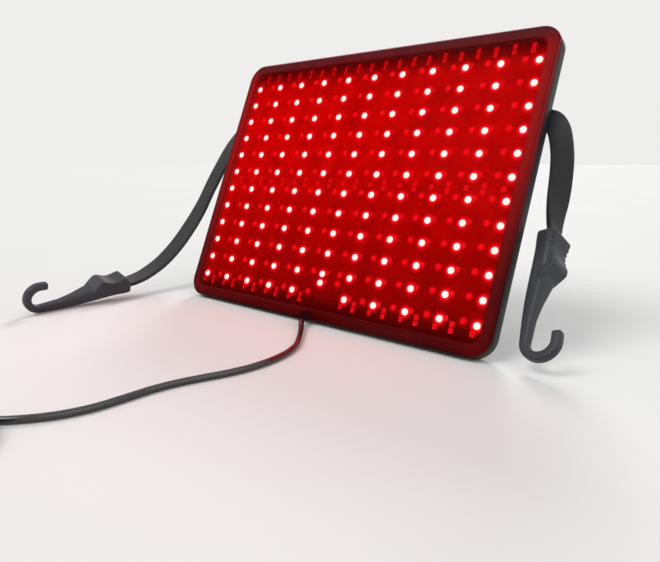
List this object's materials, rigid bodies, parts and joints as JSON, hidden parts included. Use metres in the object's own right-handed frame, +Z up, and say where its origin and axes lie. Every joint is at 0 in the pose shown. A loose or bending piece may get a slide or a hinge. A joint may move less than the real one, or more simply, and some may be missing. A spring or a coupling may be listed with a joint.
{
  "type": "red light therapy panel",
  "caption": "Flat red light therapy panel on a fold-out wire stand, with an elastic strap ending in two moulded hooks and a thin power cord with a barrel connector.",
  "frame": {"origin": "middle of the flat strip along the panel's rear bottom edge, on which the panel stands", "axes": "+X across the panel to its right as seen from the front, -Y towards the side that the lights face, +Z up from the surface that the panel stands on"},
  "size_m": [0.397, 0.4202, 0.2173],
  "materials": {
    "housing": "fine satin black",
    "bezel": "satin dark grey",
    "window": "clear polished acrylic",
    "seal": "matte black silicone",
    "board": "circuit board lit red by its lights",
    "steel": "zinc plated",
    "strap": "ribbed elastic, dark grey",
    "hook": "satin dark grey moulding",
    "cord": "satin dark grey sheath",
    "nickel": "nickel plated contact",
    "red_wire": "red wire insulation",
    "black_wire": "black insulation"
  },
  "bodies": {
    "panel": {"rear_tray": "housing", "front_bezel": "bezel", "front_window": "window", "spacer_gasket": "seal", "led_board": "board", "cable_grommet": "seal", "lead_positive": "red_wire", "lead_negative": "black_wire", "strap_guide_left": "housing", "strap_guide_right": "housing", "stand_clip_left": "housing", "stand_clip_right": "housing", "hook_left": "hook", "hook_right": "hook", "elastic_strap": "strap", "power_cord": "cord", "cord_coil": "cord", "plug_body": "cord", "plug_sleeve": "nickel", "plug_insulator": "black_wire", "housing_screw_1": "steel", "housing_screw_2": "steel", "housing_screw_3": "steel", "housing_screw_4": "steel", "housing_screw_5": "steel", "housing_screw_6": "steel", "housing_screw_7": "steel", "housing_screw_8": "steel", "housing_screw_9": "steel", "housing_screw_10": "steel", "guide_screw_1": "steel", "clip_screw_1": "steel", "guide_screw_2": "steel", "clip_screw_2": "steel", "guide_screw_3": "steel", "clip_screw_3": "steel", "guide_screw_4": "steel", "clip_screw_4": "steel"},
    "stand": {"stand_wire": "steel", "stand_foot_sleeve": "seal"}
  },
  "joints": [
    {"name": "stand_fold", "type": "hinge", "parent": "panel", "child": "stand", "pos_m": [0, 0.05866, 0.11321], "axis": [1, 0, 0], "range_deg": [-45, 0]}
  ]
}
